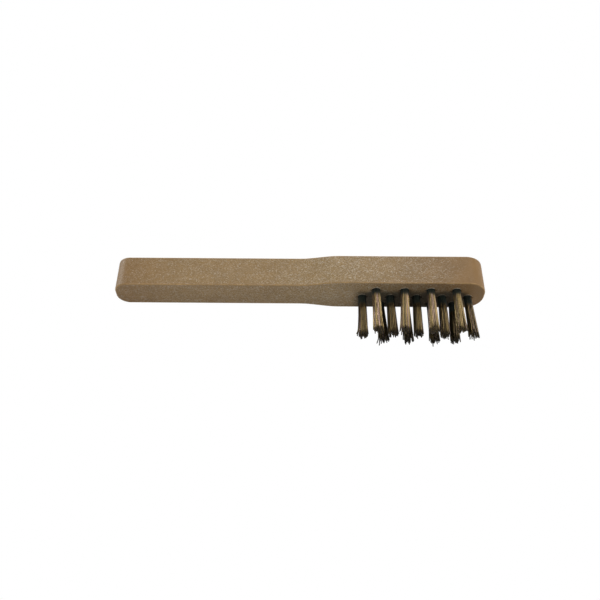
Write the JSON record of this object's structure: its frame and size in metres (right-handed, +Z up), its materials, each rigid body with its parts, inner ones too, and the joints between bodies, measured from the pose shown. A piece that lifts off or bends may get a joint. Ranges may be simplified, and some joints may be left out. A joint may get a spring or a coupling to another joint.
{
  "type": "wire brush",
  "caption": "Small hand wire brush: a straight moulded grip that widens to a narrow head, with staggered rows of round metal wire tufts.",
  "frame": {"origin": "middle of the bounding box's underside, where the head's lower side face lies on the bench: halfway along the brush, and halfway from the block's back to the wire tips", "axes": "+X along the brush from the grip to the head, +Y from the bristle face to the block's back (the bristles point to -Y), +Z up through the side that lies on top"},
  "size_m": [0.133, 0.0296, 0.0152],
  "materials": {
    "block": "satin moulded mineral-filled plastic with pale flecks",
    "wire": "drawn wire, slightly tarnished, with cut tips",
    "anchor": "flat strip, as rolled"
  },
  "bodies": {
    "root": {"brush_block": "block", "tuft_upper_1": "wire", "tuft_upper_2": "wire", "tuft_upper_3": "wire", "tuft_upper_4": "wire", "tuft_middle_1": "wire", "tuft_middle_2": "wire", "tuft_middle_3": "wire", "tuft_middle_4": "wire", "tuft_middle_5": "wire", "tuft_lower_1": "wire", "tuft_lower_2": "wire", "tuft_lower_3": "wire", "tuft_lower_4": "wire", "anchor_upper_1": "anchor", "anchor_upper_2": "anchor", "anchor_upper_3": "anchor", "anchor_upper_4": "anchor", "anchor_middle_1": "anchor", "anchor_middle_2": "anchor", "anchor_middle_3": "anchor", "anchor_middle_4": "anchor", "anchor_middle_5": "anchor", "anchor_lower_1": "anchor", "anchor_lower_2": "anchor", "anchor_lower_3": "anchor", "anchor_lower_4": "anchor"}
  },
  "joints": []
}
